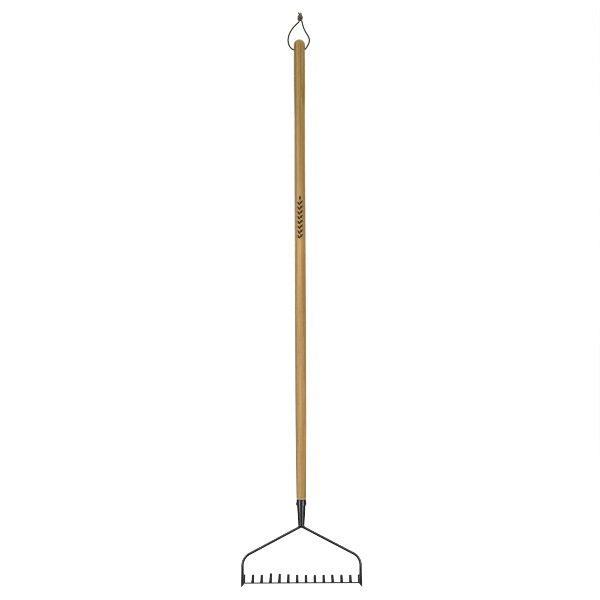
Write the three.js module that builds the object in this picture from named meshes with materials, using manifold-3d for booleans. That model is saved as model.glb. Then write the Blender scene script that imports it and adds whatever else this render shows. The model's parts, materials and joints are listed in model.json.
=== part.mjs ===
// A long-handled bow rake: a turned wooden handle in a riveted steel socket, a bent rod bow, a thin
// head bar with separate curved tines, and a knotted cord loop through the top of the handle.
// Millimetres. +Z runs up the handle, +X is the rake's right, and the tines point to +Y.
// The origin is the centre of the head bar's flat underside.
import * as THREE from "three";
import { mergeVertices } from "three/addons/utils/BufferGeometryUtils.js";
import Module from "manifold-3d";

const wasm = await Module();
wasm.setup();

// ---------------------------------------------------------------- driving dimensions

const GAP = 0.3; // clearance round a piece that passes through another
const OVERRUN = 5; // how far a cutting tool runs past the surface that it cuts

// Head bar
const BAR_LENGTH = 336;
const BAR_DEPTH = 10; // front to back
const BAR_THICKNESS = 2.5;

// Tines, welded side by side on the bar
const TINE_PITCH = 25.4;
const TINE_REACH = 74; // length from root to tip, along the curve
const TINE_ROOT_WIDTH = 8;
const TINE_TIP_WIDTH = 7;
const TINE_ROOT_THICKNESS = 5;
const TINE_TIP_THICKNESS = 3.6;
const TINE_TIP_START = 0.93; // share of the reach where the tip begins to round off
const TINE_TIP_BLUNT = 0.6; // width of the end face, as a share of the tip width
const TINE_STEPS = 14;
// Angle of each tip above level, left to right. The tines are bent by hand, so they vary a little.
const TINE_TIP_DEGREES = [23, 21.5, 20, 28.5, 26, 22.5, 18.5, 18.5, 17.5, 18.5, 19.5, 19.5, 18.5, 20];

// Bow: one round rod, bent over the head and flattened at both ends
const ROD_RADIUS = 3.5;
const BOW_HALF_SPAN = 168.3;
const BOW_APEX_Z = 163.7;
const BOW_CORNER_Z = 74.8;
const BOW_CORNER_RADIUS = 38;
const BOW_APEX_RADIUS = 9;
const BOW_STEPS = 110;
const PAD_TOP_Z = 56; // where the rod starts to flatten
const PAD_WIDTH = 9.7;
const PAD_THICKNESS = 4;
const TOE_DROP = 9.3; // how far the pointed toe hangs below the bar's underside

// Socket: a tapered cup round the handle's lower end
const SOCKET_FOOT_Z = 165.5;
const SOCKET_FOOT_RADIUS = 8.6;
const SOCKET_NECK_Z = 222; // top of the taper, where the collar begins
const SOCKET_NECK_RADIUS = 12;
const SOCKET_MOUTH_Z = 239;
const SOCKET_WALL = 1.5;
const SOCKET_FLOOR = 12; // solid metal under the handle's end

// Collar: a ring pressed over the socket's mouth
const COLLAR_RADIUS = 13.6;
const COLLAR_LOW_Z = 222.5;
const COLLAR_HIGH_Z = 240;
const COLLAR_CHAMFER = 0.8;

// Rivet through collar, socket and handle
const RIVET_Z = 228;
const RIVET_SHANK_RADIUS = 2.5;
const RIVET_HEAD_RADIUS = 4.2;
const RIVET_HEAD_HEIGHT = 1.3;

// Weld bead where the socket stands on the bow
const WELD_HALF_WIDTH = 10.8;
const WELD_HALF_DEPTH = 8.2;
const WELD_HALF_HEIGHT = 5.2;

// Handle
const HANDLE_TOP_Z = 1551;
const HANDLE_SHOULDER_Z = COLLAR_HIGH_Z + GAP;
const HANDLE_SHOULDER_RADIUS = 12.5;
const HANDLE_CHAMFER = 3.5;
const GRIP_RADIUS = 16.2;
// Turned outline between shoulder and grip, as [height, radius]: slim at the foot, an even shaft,
// a slight waist and the fuller grip.
const HANDLE_OUTLINE = [
  [HANDLE_SHOULDER_Z + HANDLE_CHAMFER, 13.5],
  [296, 14],
  [410, 15],
  [520, 15.5],
  [1090, 15.5],
  [1320, 15],
  [1415, GRIP_RADIUS],
];

// Hanging cord
const CORD_RADIUS = 2;
const CORD_HOLE_Z = 1521;
const CORD_HOLE_RADIUS = 3.5;
const LOOP_LEFT_SWELL = 44; // how far the left strand pulls outwards as it leaves the hole
const LOOP_RIGHT_SWELL = 41;
const LOOP_EXIT_RISE = 4; // how much it climbs on the way out
const LOOP_CLOSING_RISE = 54; // height above the hole where both strands turn in towards the knot
const LOOP_CLOSING_SHARE = 0.6; // share of the swell that is left there
const KNOT_LOW_Z = 1603;
const KNOT_HEIGHT = 19;
const KNOT_WIDTH = 14;
const KNOT_DEPTH = 11;
const KNOT_LEAN_DEGREES = -14;
const TAIL_TOP_Z = 1629;
const TAIL_SPREAD = 5;
const CORD_STEPS = 44;

// Facets round each turned piece
const TURNED_FACETS = 32;
const ROD_FACETS = 12;
const CORD_FACETS = 8;
const HOLE_FACETS = 20;

// ---------------------------------------------------------------- derived places

// The bow's flattened ends lie against the front edge of the bar, so the handle's axis, which is
// in the plane of the bow, stands in front of the bar.
const HANDLE_AXIS_Y = -(BAR_DEPTH + PAD_THICKNESS) / 2;
const TINE_COUNT = TINE_TIP_DEGREES.length;
const TENON_RADIUS = SOCKET_NECK_RADIUS - SOCKET_WALL - GAP;
const TENON_END_Z = SOCKET_FOOT_Z + SOCKET_FLOOR + GAP;

// ---------------------------------------------------------------- materials

const ashWood = new THREE.MeshStandardMaterial({ color: 0xb99862, roughness: 0.5, metalness: 0 });
const blackSteel = new THREE.MeshStandardMaterial({ color: 0x2c2d2e, roughness: 0.42, metalness: 0.6 });
const brownLeather = new THREE.MeshStandardMaterial({ color: 0x2e221a, roughness: 0.75, metalness: 0 });

// ---------------------------------------------------------------- solids and sweeps

// A closed three.js geometry as a solid that can be cut and joined.
function solidOf(geometry) {
  const bare = geometry.clone();
  bare.deleteAttribute("normal");
  bare.deleteAttribute("uv");
  const merged = mergeVertices(bare, 1e-4);
  const vertProperties = merged.attributes.position.array;
  const triVerts = new Uint32Array(merged.index.array);
  return new wasm.Manifold(new wasm.Mesh({ numProp: 3, vertProperties, triVerts }));
}

function geometryOf(solid) {
  const { numProp, vertProperties, triVerts } = solid.getMesh();
  const geometry = new THREE.BufferGeometry();
  geometry.setAttribute("position", new THREE.BufferAttribute(vertProperties, numProp));
  geometry.setIndex(new THREE.BufferAttribute(triVerts, 1));
  geometry.computeVertexNormals();
  return geometry;
}

// Moves each vertex to where the function says.
function reshape(geometry, move) {
  const position = geometry.attributes.position;
  const point = new THREE.Vector3();
  for (let i = 0; i < position.count; i += 1) {
    point.fromBufferAttribute(position, i);
    move(point);
    position.setXYZ(i, point.x, point.y, point.z);
  }
  geometry.computeVertexNormals();
  return geometry;
}

// A path drawn as x across and y up, stood upright in the plane of the bow.
class UprightCurve extends THREE.Curve {
  constructor(path) {
    super();
    this.path = path;
  }

  getPoint(t, target = new THREE.Vector3()) {
    const flat = this.path.getPoint(t);
    return target.set(flat.x, 0, flat.y);
  }
}

function roundBar(path, radius, steps, facets) {
  const section = new THREE.Shape().absarc(0, 0, radius, 0, 2 * Math.PI);
  return new THREE.ExtrudeGeometry(section, {
    steps,
    curveSegments: facets / 2,
    extrudePath: new UprightCurve(path),
  });
}

// A solid turned about the Z axis, from an outline of [radius, height] corners.
function turned(corners) {
  const outline = corners.map(([radius, height]) => new THREE.Vector2(radius, height));
  return solidOf(new THREE.LatheGeometry(outline, TURNED_FACETS).rotateX(Math.PI / 2));
}

// Drills a round hole along X, right through a solid that is centred on the handle's axis.
function drilled(solid, radius, height) {
  const length = 2 * (GRIP_RADIUS + OVERRUN);
  const drill = new THREE.CylinderGeometry(radius, radius, length, HOLE_FACETS);
  drill.rotateZ(Math.PI / 2).translate(0, 0, height);
  return solid.subtract(solidOf(drill));
}

function meshOf(name, geometry, material) {
  const mesh = new THREE.Mesh(geometry, material);
  mesh.name = name;
  return mesh;
}

// ---------------------------------------------------------------- handle

// The tenon inside the socket, a chamfered shoulder on the collar, the shaft, and a domed end.
function makeHandle() {
  const domeZ = HANDLE_TOP_Z - GRIP_RADIUS;
  const [foot, ...stations] = HANDLE_OUTLINE.map(([height, radius]) => new THREE.Vector2(radius, height));
  const outline = new THREE.Path();
  outline.moveTo(0, TENON_END_Z);
  outline.lineTo(socketBoreRadius(TENON_END_Z) - GAP, TENON_END_Z);
  outline.lineTo(TENON_RADIUS, SOCKET_NECK_Z);
  outline.lineTo(TENON_RADIUS, HANDLE_SHOULDER_Z);
  outline.lineTo(HANDLE_SHOULDER_RADIUS, HANDLE_SHOULDER_Z);
  outline.lineTo(foot.x, foot.y);
  outline.splineThru(stations);
  outline.lineTo(GRIP_RADIUS, domeZ);
  outline.absarc(0, domeZ, GRIP_RADIUS, 0, Math.PI / 2);
  const blank = turned(outline.getPoints(4).map((point) => [point.x, point.y]));
  const drilledForCord = drilled(blank, CORD_HOLE_RADIUS, CORD_HOLE_Z);
  return geometryOf(drilled(drilledForCord, RIVET_SHANK_RADIUS + GAP, RIVET_Z));
}

// ---------------------------------------------------------------- socket, collar, rivet and weld

function socketRadius(height) {
  const share = (height - SOCKET_FOOT_Z) / (SOCKET_NECK_Z - SOCKET_FOOT_Z);
  return THREE.MathUtils.lerp(SOCKET_FOOT_RADIUS, SOCKET_NECK_RADIUS, Math.min(share, 1));
}

function socketBoreRadius(height) {
  return socketRadius(height) - SOCKET_WALL;
}

function makeSocket() {
  const floorZ = SOCKET_FOOT_Z + SOCKET_FLOOR;
  const cup = turned([
    [0, SOCKET_FOOT_Z],
    [SOCKET_FOOT_RADIUS, SOCKET_FOOT_Z],
    [SOCKET_NECK_RADIUS, SOCKET_NECK_Z],
    [SOCKET_NECK_RADIUS, SOCKET_MOUTH_Z],
    [socketBoreRadius(SOCKET_MOUTH_Z), SOCKET_MOUTH_Z],
    [socketBoreRadius(SOCKET_NECK_Z), SOCKET_NECK_Z],
    [socketBoreRadius(floorZ), floorZ],
    [0, floorZ],
  ]);
  const saddled = cup.subtract(solidOf(bowRod(GAP)));
  return geometryOf(drilled(saddled, RIVET_SHANK_RADIUS + GAP, RIVET_Z));
}

function makeCollar() {
  const bore = SOCKET_NECK_RADIUS + GAP;
  const ring = turned([
    [bore, COLLAR_LOW_Z],
    [COLLAR_RADIUS - COLLAR_CHAMFER, COLLAR_LOW_Z],
    [COLLAR_RADIUS, COLLAR_LOW_Z + COLLAR_CHAMFER],
    [COLLAR_RADIUS, COLLAR_HIGH_Z - COLLAR_CHAMFER],
    [COLLAR_RADIUS - COLLAR_CHAMFER, COLLAR_HIGH_Z],
    [bore, COLLAR_HIGH_Z],
    [bore, COLLAR_LOW_Z],
  ]);
  return geometryOf(drilled(ring, RIVET_SHANK_RADIUS + GAP, RIVET_Z));
}

// A shank with a low domed head at each end. The heads bear on the collar's round face.
function makeRivet() {
  const seat = COLLAR_RADIUS + GAP;
  const crown = seat + RIVET_HEAD_HEIGHT;
  const half = new THREE.Path();
  half.moveTo(RIVET_SHANK_RADIUS, seat);
  half.lineTo(RIVET_HEAD_RADIUS, seat);
  half.lineTo(RIVET_HEAD_RADIUS, seat + RIVET_HEAD_HEIGHT / 3);
  half.quadraticCurveTo(RIVET_HEAD_RADIUS, crown, 0, crown);
  const right = half.getPoints(5);
  const left = right.map((point) => new THREE.Vector2(point.x, -point.y)).reverse();
  const rivet = new THREE.LatheGeometry([...left, ...right], HOLE_FACETS);
  return rivet.rotateZ(-Math.PI / 2).translate(0, 0, RIVET_Z);
}

// The bead of weld metal that wraps the bow's apex and climbs the socket's foot.
function makeNeckWeld() {
  const bead = new THREE.SphereGeometry(1, 24, 14);
  bead.scale(WELD_HALF_WIDTH, WELD_HALF_DEPTH, WELD_HALF_HEIGHT);
  bead.translate(0, 0, SOCKET_FOOT_Z);
  const footTopZ = SOCKET_FOOT_Z + WELD_HALF_HEIGHT + OVERRUN;
  const socketFoot = turned([
    [0, SOCKET_FOOT_Z - GAP],
    [SOCKET_FOOT_RADIUS + GAP, SOCKET_FOOT_Z - GAP],
    [socketRadius(footTopZ) + GAP, footTopZ],
    [0, footTopZ],
  ]);
  return geometryOf(solidOf(bead).subtract(solidOf(bowRod(GAP))).subtract(socketFoot));
}

// ---------------------------------------------------------------- bow

// The rod's centreline: up the left arm, over the apex and down the right arm, with round bends.
function bowPath() {
  const toeZ = -TOE_DROP - OVERRUN;
  const corners = [
    new THREE.Vector2(-BOW_HALF_SPAN, BOW_CORNER_Z),
    new THREE.Vector2(0, BOW_APEX_Z),
    new THREE.Vector2(BOW_HALF_SPAN, BOW_CORNER_Z),
  ];
  const radii = [BOW_CORNER_RADIUS, BOW_APEX_RADIUS, BOW_CORNER_RADIUS];
  const ends = [new THREE.Vector2(-BOW_HALF_SPAN, toeZ), new THREE.Vector2(BOW_HALF_SPAN, toeZ)];
  const stops = [ends[0], ...corners, ends[1]];
  const path = new THREE.Path();
  path.moveTo(ends[0].x, ends[0].y);
  corners.forEach((corner, i) => {
    const towards = stops[i].clone().sub(corner).normalize();
    const away = stops[i + 2].clone().sub(corner).normalize();
    const turn = Math.PI - Math.acos(towards.dot(away));
    const setback = radii[i] * Math.tan(turn / 2);
    const bendStart = corner.clone().addScaledVector(towards, setback);
    const bendEnd = corner.clone().addScaledVector(away, setback);
    path.lineTo(bendStart.x, bendStart.y);
    path.quadraticCurveTo(corner.x, corner.y, bendEnd.x, bendEnd.y);
  });
  path.lineTo(ends[1].x, ends[1].y);
  return path;
}

// The round rod along its whole path, thickened all round by the clearance that a neighbour needs.
function bowRod(clearance) {
  return roundBar(bowPath(), ROD_RADIUS + clearance, BOW_STEPS, ROD_FACETS);
}

// Hammers the rod flat towards each end: wider across and thinner front to back.
function flattenArm(point) {
  const share = THREE.MathUtils.clamp((PAD_TOP_Z - point.z) / PAD_TOP_Z, 0, 1);
  if (share === 0) return;
  const side = Math.sign(point.x) * BOW_HALF_SPAN;
  const width = THREE.MathUtils.lerp(2 * ROD_RADIUS, PAD_WIDTH, share * share);
  const flattening = THREE.MathUtils.smoothstep(share, 0, 0.5);
  const halfThickness = THREE.MathUtils.lerp(ROD_RADIUS, PAD_THICKNESS / 2, flattening);
  point.x = side + ((point.x - side) * width) / (2 * ROD_RADIUS);
  point.y = THREE.MathUtils.clamp(point.y, -halfThickness, halfThickness);
}

// The flattened rod, with each end cut off on the slant into a toe that points down and outwards.
function makeBow() {
  const toeSlope = Math.atan2(TOE_DROP, PAD_WIDTH);
  const toolSize = 6 * PAD_WIDTH;
  let bow = solidOf(reshape(bowRod(0), flattenArm));
  for (const side of [-1, 1]) {
    const tool = new THREE.BoxGeometry(toolSize, toolSize, toolSize);
    tool.translate(0, 0, -toolSize / 2);
    tool.rotateY(side * toeSlope);
    tool.translate(side * (BOW_HALF_SPAN - PAD_WIDTH / 2), 0, 0);
    bow = bow.subtract(solidOf(tool));
  }
  return geometryOf(bow);
}

// ---------------------------------------------------------------- head bar and tines

function makeBar() {
  return new THREE.BoxGeometry(BAR_LENGTH, BAR_DEPTH, BAR_THICKNESS).translate(0, 0, BAR_THICKNESS / 2);
}

// A flat root that lies on the bar, then a tapered blade that curves up to a blunt rounded tip.
function makeTine(tipAngle) {
  const rootEnd = -BAR_DEPTH / 2 + GAP;
  const rootLength = BAR_DEPTH - GAP;
  const bendRadius = (TINE_REACH - rootLength) / tipAngle;
  const blank = new THREE.BoxGeometry(1, 1, 1, 2, TINE_STEPS, 1);
  return reshape(blank, (point) => {
    const taper = Math.sin(((point.y + 0.5) * Math.PI) / 2); // crowds the steps towards the tip
    const along = taper * TINE_REACH;
    const intoTip = Math.max(0, (taper - TINE_TIP_START) / (1 - TINE_TIP_START));
    const rounding = Math.sqrt(1 - (1 - TINE_TIP_BLUNT ** 2) * intoTip ** 2);
    const width = THREE.MathUtils.lerp(TINE_ROOT_WIDTH, TINE_TIP_WIDTH, taper) * rounding;
    const thickness = THREE.MathUtils.lerp(TINE_ROOT_THICKNESS, TINE_TIP_THICKNESS, taper) * rounding;
    const angle = Math.max(0, along - rootLength) / bendRadius;
    const level = Math.min(along, rootLength);
    const rise = bendRadius * (1 - Math.cos(angle)) + BAR_THICKNESS + TINE_ROOT_THICKNESS / 2;
    const offset = point.z * thickness;
    point.x *= width;
    point.y = rootEnd + level + bendRadius * Math.sin(angle) - offset * Math.sin(angle);
    point.z = rise + offset * Math.cos(angle);
  });
}

// ---------------------------------------------------------------- hanging cord

// One strand, from the middle of the cord hole out of the handle and up to the knot.
function strandPath(side, swell) {
  const mouth = side * (GRIP_RADIUS - 1);
  const path = new THREE.Path();
  path.moveTo(0, CORD_HOLE_Z);
  path.lineTo(mouth, CORD_HOLE_Z);
  path.bezierCurveTo(
    side * swell,
    CORD_HOLE_Z + LOOP_EXIT_RISE,
    side * swell * LOOP_CLOSING_SHARE,
    CORD_HOLE_Z + LOOP_CLOSING_RISE,
    side * CORD_RADIUS,
    KNOT_LOW_Z + KNOT_HEIGHT / 3,
  );
  return path;
}

function tailPath(side) {
  const path = new THREE.Path();
  path.moveTo(side, KNOT_LOW_Z + KNOT_HEIGHT / 2);
  path.lineTo(side * TAIL_SPREAD, TAIL_TOP_Z);
  return path;
}

// The two strands meet in the middle of the hole. The knot is a plain barrel round the strands.
function makeCord() {
  const knot = new THREE.SphereGeometry(0.5, 16, 12);
  knot.scale(KNOT_WIDTH, KNOT_DEPTH, KNOT_HEIGHT);
  knot.rotateY(THREE.MathUtils.degToRad(KNOT_LEAN_DEGREES));
  knot.translate(0, 0, KNOT_LOW_Z + KNOT_HEIGHT / 2);
  const cords = [
    roundBar(strandPath(-1, LOOP_LEFT_SWELL), CORD_RADIUS, CORD_STEPS, CORD_FACETS),
    roundBar(strandPath(1, LOOP_RIGHT_SWELL), CORD_RADIUS, CORD_STEPS, CORD_FACETS),
    roundBar(tailPath(-1), CORD_RADIUS, 1, CORD_FACETS),
    roundBar(tailPath(1), CORD_RADIUS, 1, CORD_FACETS),
  ];
  return geometryOf(cords.reduce((whole, cord) => whole.add(solidOf(cord)), solidOf(knot)));
}

// ---------------------------------------------------------------- assembly

const rake = new THREE.Group();

const handleSide = new THREE.Group();
handleSide.position.y = HANDLE_AXIS_Y;
handleSide.add(
  meshOf("handle", makeHandle(), ashWood),
  meshOf("socket", makeSocket(), blackSteel),
  meshOf("collar_ring", makeCollar(), blackSteel),
  meshOf("socket_rivet", makeRivet(), blackSteel),
  meshOf("neck_weld", makeNeckWeld(), blackSteel),
  meshOf("bow", makeBow(), blackSteel),
  meshOf("hanging_cord", makeCord(), brownLeather),
);

const head = new THREE.Group();
head.add(meshOf("head_bar", makeBar(), blackSteel));
TINE_TIP_DEGREES.forEach((degrees, i) => {
  const name = `tine_${String(i + 1).padStart(2, "0")}`;
  const tine = meshOf(name, makeTine(THREE.MathUtils.degToRad(degrees)), blackSteel);
  tine.position.x = (i - (TINE_COUNT - 1) / 2) * TINE_PITCH;
  head.add(tine);
});

rake.add(handleSide, head);

export default rake;
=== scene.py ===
import json
import math

import bmesh
import bpy
import numpy as np
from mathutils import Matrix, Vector, noise

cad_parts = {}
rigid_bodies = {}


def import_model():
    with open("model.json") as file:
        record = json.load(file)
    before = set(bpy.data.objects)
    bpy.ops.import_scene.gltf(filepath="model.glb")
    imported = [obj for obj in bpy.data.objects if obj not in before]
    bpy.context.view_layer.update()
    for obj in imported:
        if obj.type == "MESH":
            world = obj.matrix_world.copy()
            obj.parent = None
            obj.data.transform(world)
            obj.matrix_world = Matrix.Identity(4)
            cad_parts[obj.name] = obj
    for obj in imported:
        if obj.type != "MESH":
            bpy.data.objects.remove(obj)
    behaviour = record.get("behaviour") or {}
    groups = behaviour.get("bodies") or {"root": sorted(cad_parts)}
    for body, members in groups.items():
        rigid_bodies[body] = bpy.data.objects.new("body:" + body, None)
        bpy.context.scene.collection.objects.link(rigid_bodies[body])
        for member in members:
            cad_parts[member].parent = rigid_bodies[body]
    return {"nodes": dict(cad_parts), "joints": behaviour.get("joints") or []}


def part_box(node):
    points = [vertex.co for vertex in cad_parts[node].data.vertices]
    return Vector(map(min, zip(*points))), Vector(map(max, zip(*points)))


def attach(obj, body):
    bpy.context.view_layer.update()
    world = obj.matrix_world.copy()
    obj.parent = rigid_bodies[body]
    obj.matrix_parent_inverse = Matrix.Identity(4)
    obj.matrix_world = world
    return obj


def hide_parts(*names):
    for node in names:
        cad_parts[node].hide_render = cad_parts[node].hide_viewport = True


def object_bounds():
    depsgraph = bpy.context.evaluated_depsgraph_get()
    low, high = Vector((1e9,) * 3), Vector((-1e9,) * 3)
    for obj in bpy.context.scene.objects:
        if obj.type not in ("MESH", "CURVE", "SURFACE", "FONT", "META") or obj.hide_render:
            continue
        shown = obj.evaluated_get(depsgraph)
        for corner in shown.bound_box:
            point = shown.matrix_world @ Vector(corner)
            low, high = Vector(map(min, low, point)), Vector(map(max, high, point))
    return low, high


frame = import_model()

for leftover in [o for o in bpy.data.objects if o.name in ("Cube", "Light", "Camera")]:
    bpy.data.objects.remove(leftover)
CAD_LOW, CAD_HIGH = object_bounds()

MM = 0.001
SHARP_DEGREES = 38  # a sharper turn of the surface is a hard edge

# -------- places read from the frame

BOW_LOW, BOW_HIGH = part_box("bow")
BAR_LOW, BAR_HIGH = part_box("head_bar")
SOCKET_LOW, SOCKET_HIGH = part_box("socket")
COLLAR_LOW, COLLAR_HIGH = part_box("collar_ring")
RIVET_LOW, RIVET_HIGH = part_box("socket_rivet")
WELD_LOW, WELD_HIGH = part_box("neck_weld")
HANDLE_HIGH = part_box("handle")[1]
CORD_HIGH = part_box("hanging_cord")[1]
SWING = next(joint for joint in frame["joints"] if joint["name"] == "loop_swing")

AXIS_Y = SWING["pos_m"][1]  # the handle's axis stands on this line
HOLE_Z = SWING["pos_m"][2]  # and the cord's hole crosses it at this height
TINES = sorted(name for name in frame["nodes"] if name.startswith("tine_"))

# -------- driving dimensions

# Bow
ROD_RADIUS = (BOW_HIGH.y - BOW_LOW.y) / 2
PAD_WIDTH = 9.7 * MM
PAD_THICKNESS = 4 * MM
PAD_TOP_Z = 56 * MM
BOW_SPAN = BOW_HIGH.x - PAD_WIDTH / 2  # from the middle to each arm's centreline
BOW_APEX_Z = 163.7 * MM
BOW_CORNER_Z = 74.8 * MM
BOW_CORNER_RADIUS = 38 * MM
BOW_APEX_RADIUS = 9 * MM
TOE_DROP = -BOW_LOW.z
TOE_BLUNT = 0.16  # share of the pad's width that the toe's tip keeps
TOE_START = 16 * MM  # the toe's slant has faded out at this height
TOE_EDGE = 0.7 * MM
ROD_POINTS = 40
ROD_STEP = 2.5 * MM

# Head bar
BAR_STATIONS = 168
BAR_POINTS = 36
BAR_SQUARENESS = 9  # superellipse power of the rolled section
BAR_END_INSETS = {0: 0.35 * MM, 1: 0.1 * MM}  # of the first rings from each end
BAR_WAVE = 0.05 * MM

# Tines
TINE_ROOT = (8 * MM, 5 * MM)  # width, thickness
TINE_TIP = (7 * MM, 3.6 * MM)
TINE_POINTS = 36
TINE_STEPS = 44
TINE_SQUARENESS = 4.2  # superellipse power of the forged section
TINE_FILLET = 1.4 * MM  # spread of the weld along each side of the root
TINE_NOSE = 2.4 * MM  # the last stretch, where the tip's edges are dressed
TINE_LEAN = 0.018  # the most that hand work leaves: lean to one side,
TINE_TWIST = 0.16  # twist in radians,
TINE_TIP_SLANT = 0.9 * MM  # a slanting tip,
TINE_HAMMER = 0.12 * MM  # and an uneven width

# Handle
HANDLE_POINTS = 92
HANDLE_STEP = 9 * MM
DOME_STEPS = 22
SHOULDER_ROUND = 0.8 * MM
CORD_HOLE_RADIUS = 3.5 * MM
CORD_HOLE_LIP = 1.4 * MM
CORD_HOLE_POINTS = 48

# Grain of the handle's wood
PITH_PLACE = (-11 * MM, 16 * MM)  # x and y of the tree's pith at height 0
PITH_LEAN = 0.004
RING_PITCH = 2.6 * MM
RING_WANDER = 6.5 * MM

# Burnt sprig on the front of the handle
SPRIG_Z = 1.038
SPRIG_LENGTH = 126 * MM
SPRIG_LEAF_PITCH = 13.6 * MM
SPRIG_LEAF = (6.4 * MM, 2.7 * MM)  # half length, half width
SPRIG_LEAF_TILT = math.radians(34)
SPRIG_LEAF_GAP = 0.9 * MM  # from the stem's middle to the foot of a leaf
SPRIG_BARE_STEM = 14 * MM  # the stretch that has no paired leaves
SPRIG_TOP_LEAF = 10 * MM  # from the top leaf's foot to the upper end
SPRIG_STEM = 0.8 * MM  # half the stem's width
SPRIG_STEM_INSET = 8 * MM  # the stem is this much shorter at each end
SPRIG_DEPTH = 0.22 * MM
SPRIG_EDGE = 0.3 * MM  # the burn slopes down this far to each side of its outline
SPRIG_FADE = 1 * MM  # and scorches the wood up to this far outside it
SPRIG_SECTOR = math.radians(36)  # the shaft's mesh is finer this far to each side
SPRIG_POINTS = 52
SPRIG_STEP = 0.5 * MM
SPRIG_LOW = SPRIG_Z - SPRIG_LENGTH / 2
SPRIG_HIGH = SPRIG_Z + SPRIG_LENGTH / 2

# Cord
CORD_RADIUS = 2 * MM
CORD_POINTS = 20
CORD_STEP = 0.75 * MM
CORD_CUT_ROUND = 0.25 * MM  # how far each cut end bulges
STRAND_STEPS = 60
LOOP_LEAVING = ((-19 * MM, 6.5 * MM), (31 * MM, 38 * MM))  # each strand's pull at the hole, (x, z)
LOOP_CLOSING = ((-44 * MM, -36 * MM), (7 * MM, -43 * MM))  # and at the knot, left and right
KNOT_PLACE = (0.0034, 1.6123)  # x, z
KNOT_ENTRY = 13 * MM  # the strands run into the knot this far below its middle
KNOT_REACH = 11 * MM  # and its rubbed and painted-light finish ends this far above and below it
KNOT_LEAN = math.radians(9)  # the knot's upper end leans to the left
KNOT_FEET = ((-17 * MM, -23 * MM), (5 * MM, -24 * MM))  # where the laces are held below the knot
KNOT_ENDS = ((-6 * MM, 22 * MM), (3 * MM, 22 * MM))  # and above it, while it is drawn tight
KNOT_SIZE = 6.5  # scale of the open knot's curve, in millimetres
KNOT_SPREAD = 1.1 * CORD_RADIUS  # from the open knot's middle to each lace
KNOT_SQUEEZE = 0.93  # the lace is soft, so that its turns press into each other
KNOT_STEPS = 1500
KNOT_STIFFNESS = 0.22  # share of a bend that one step takes out
KNOT_PUSH = 1.3  # share of an overlap that one push takes out
KNOT_NEAR = 1.7  # nearer points of one lace, in gaps along it, never touch
KNOT_TIGHTEN = 0.997  # the spacing shrinks by this factor in one step,
KNOT_OVERLAP = 0.15  # while no overlap is deeper than this share of the gap
KNOT_STRETCH = 1.02  # and the lace isn't stretched by more than this factor

# Socket
SOCKET_POINTS = 96
SOCKET_WALL = 1.5 * MM
SOCKET_FOOT_RADIUS = 8.6 * MM
SOCKET_FLOOR = 12 * MM  # thickness of the solid floor under the bore
SOCKET_ROUND = 0.6 * MM
SADDLE_REACH = 14 * MM  # how far to each side the rod is cut out of the foot
SADDLE_RADIUS = ROD_RADIUS * 0.98  # a little tight, so that no gap shows

# Collar, rivet and weld
COLLAR_BEAD = 0.25 * MM  # the ring is this much fuller at both rims
COLLAR_ROUND = 0.7 * MM
RIVET_POINTS = 32
RIVET_RISE = 1.5 * MM
WELD_STATIONS = 160
WELD_POINTS = 20
WELD_RADIUS = 2.4 * MM  # of the bead
WELD_INSET = (2.7 * MM, 2.3 * MM)  # from the CAD box's sides to the bead's middle, (x, y)
WELD_RIPPLES = 24

# Studio
CAMERA_PLACE = (-0.0011, -7.0, 0.8083)
CAMERA_FOV = math.radians(13.943)
CAMERA_ROLL = math.radians(0.25)
PIXEL_SPREAD = 0.9  # how far each pixel looks, in pixels
SKY_LIGHT = 0.5  # how strongly the sky lights the scene from above
SKY_HORIZON = 0.06  # and from the horizon
SKY_BEHIND = 0.15  # the share of it that is left behind the rake
FLOOR_BOUNCE = 0.3  # how much light the floor throws back on the rake
FLOOR_GLOW = 0.975  # keeps the floor near white for the camera
FLOOR_SHADE = 0.08  # and this share of it takes light and shadow


# -------- mesh helpers

def piece(name, vertices, faces, body="rake", sharp_degrees=SHARP_DEGREES):
    """A new smooth-shaded mesh object, with hard edges where the surface turns sharply."""
    mesh = bpy.data.meshes.new(name)
    mesh.from_pydata([tuple(v) for v in vertices], [], faces)
    mesh.validate()
    shape = bmesh.new()
    shape.from_mesh(mesh)
    bmesh.ops.recalc_face_normals(shape, faces=shape.faces)
    shape.to_mesh(mesh)
    shape.free()
    mesh.shade_smooth()
    mesh.set_sharp_from_angle(angle=math.radians(sharp_degrees))
    made = bpy.data.objects.new(name, mesh)
    bpy.context.scene.collection.objects.link(made)
    made["body_name"] = body
    return made


def loft(name, rings, joined=False, **options):
    """A closed piece through rings of equal size. A ring of one point is a pole that closes an end.

    With joined, the last ring meets the first, as on a hoop.
    """
    vertices, faces, starts = [], [], []
    for ring in rings:
        starts.append(len(vertices))
        vertices.extend(ring)
    numbered = list(zip(starts, rings))
    following = numbered[1:] + (numbered[:1] if joined else [])
    for (low, ring_low), (high, ring_high) in zip(numbered, following):
        count = max(len(ring_low), len(ring_high))
        for i in range(count):
            j = (i + 1) % count
            if len(ring_low) == 1:
                faces.append((low, high + j, high + i))
            elif len(ring_high) == 1:
                faces.append((low + i, low + j, high))
            else:
                faces.append((low + i, low + j, high + j, high + i))
    return piece(name, vertices, faces, **options)


def turned_rings(outline, points, spot):
    """Rings about an axis, from an outline of (radius, place along the axis). A radius of 0 is a pole.

    spot(radius, angle, along) says where a point lies.
    """
    angles = np.arange(points) * 2 * np.pi / points
    return [[spot(radius, a, along) for a in (angles if radius else angles[:1])]
            for radius, along in outline]


def upright(radius, angle, height):
    """A point round the handle's axis."""
    return (radius * math.cos(angle), AXIS_Y + radius * math.sin(angle), height)


def crosswise(radius, angle, across, height):
    """A point round a line along X that meets the handle's axis at a height."""
    return (across, AXIS_Y + radius * math.cos(angle), height + radius * math.sin(angle))


def both_ways(half):
    """An outline of (radius, distance from the middle), doubled from one end to the other."""
    return [(radius, -along) for radius, along in reversed(half)] + half


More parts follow.
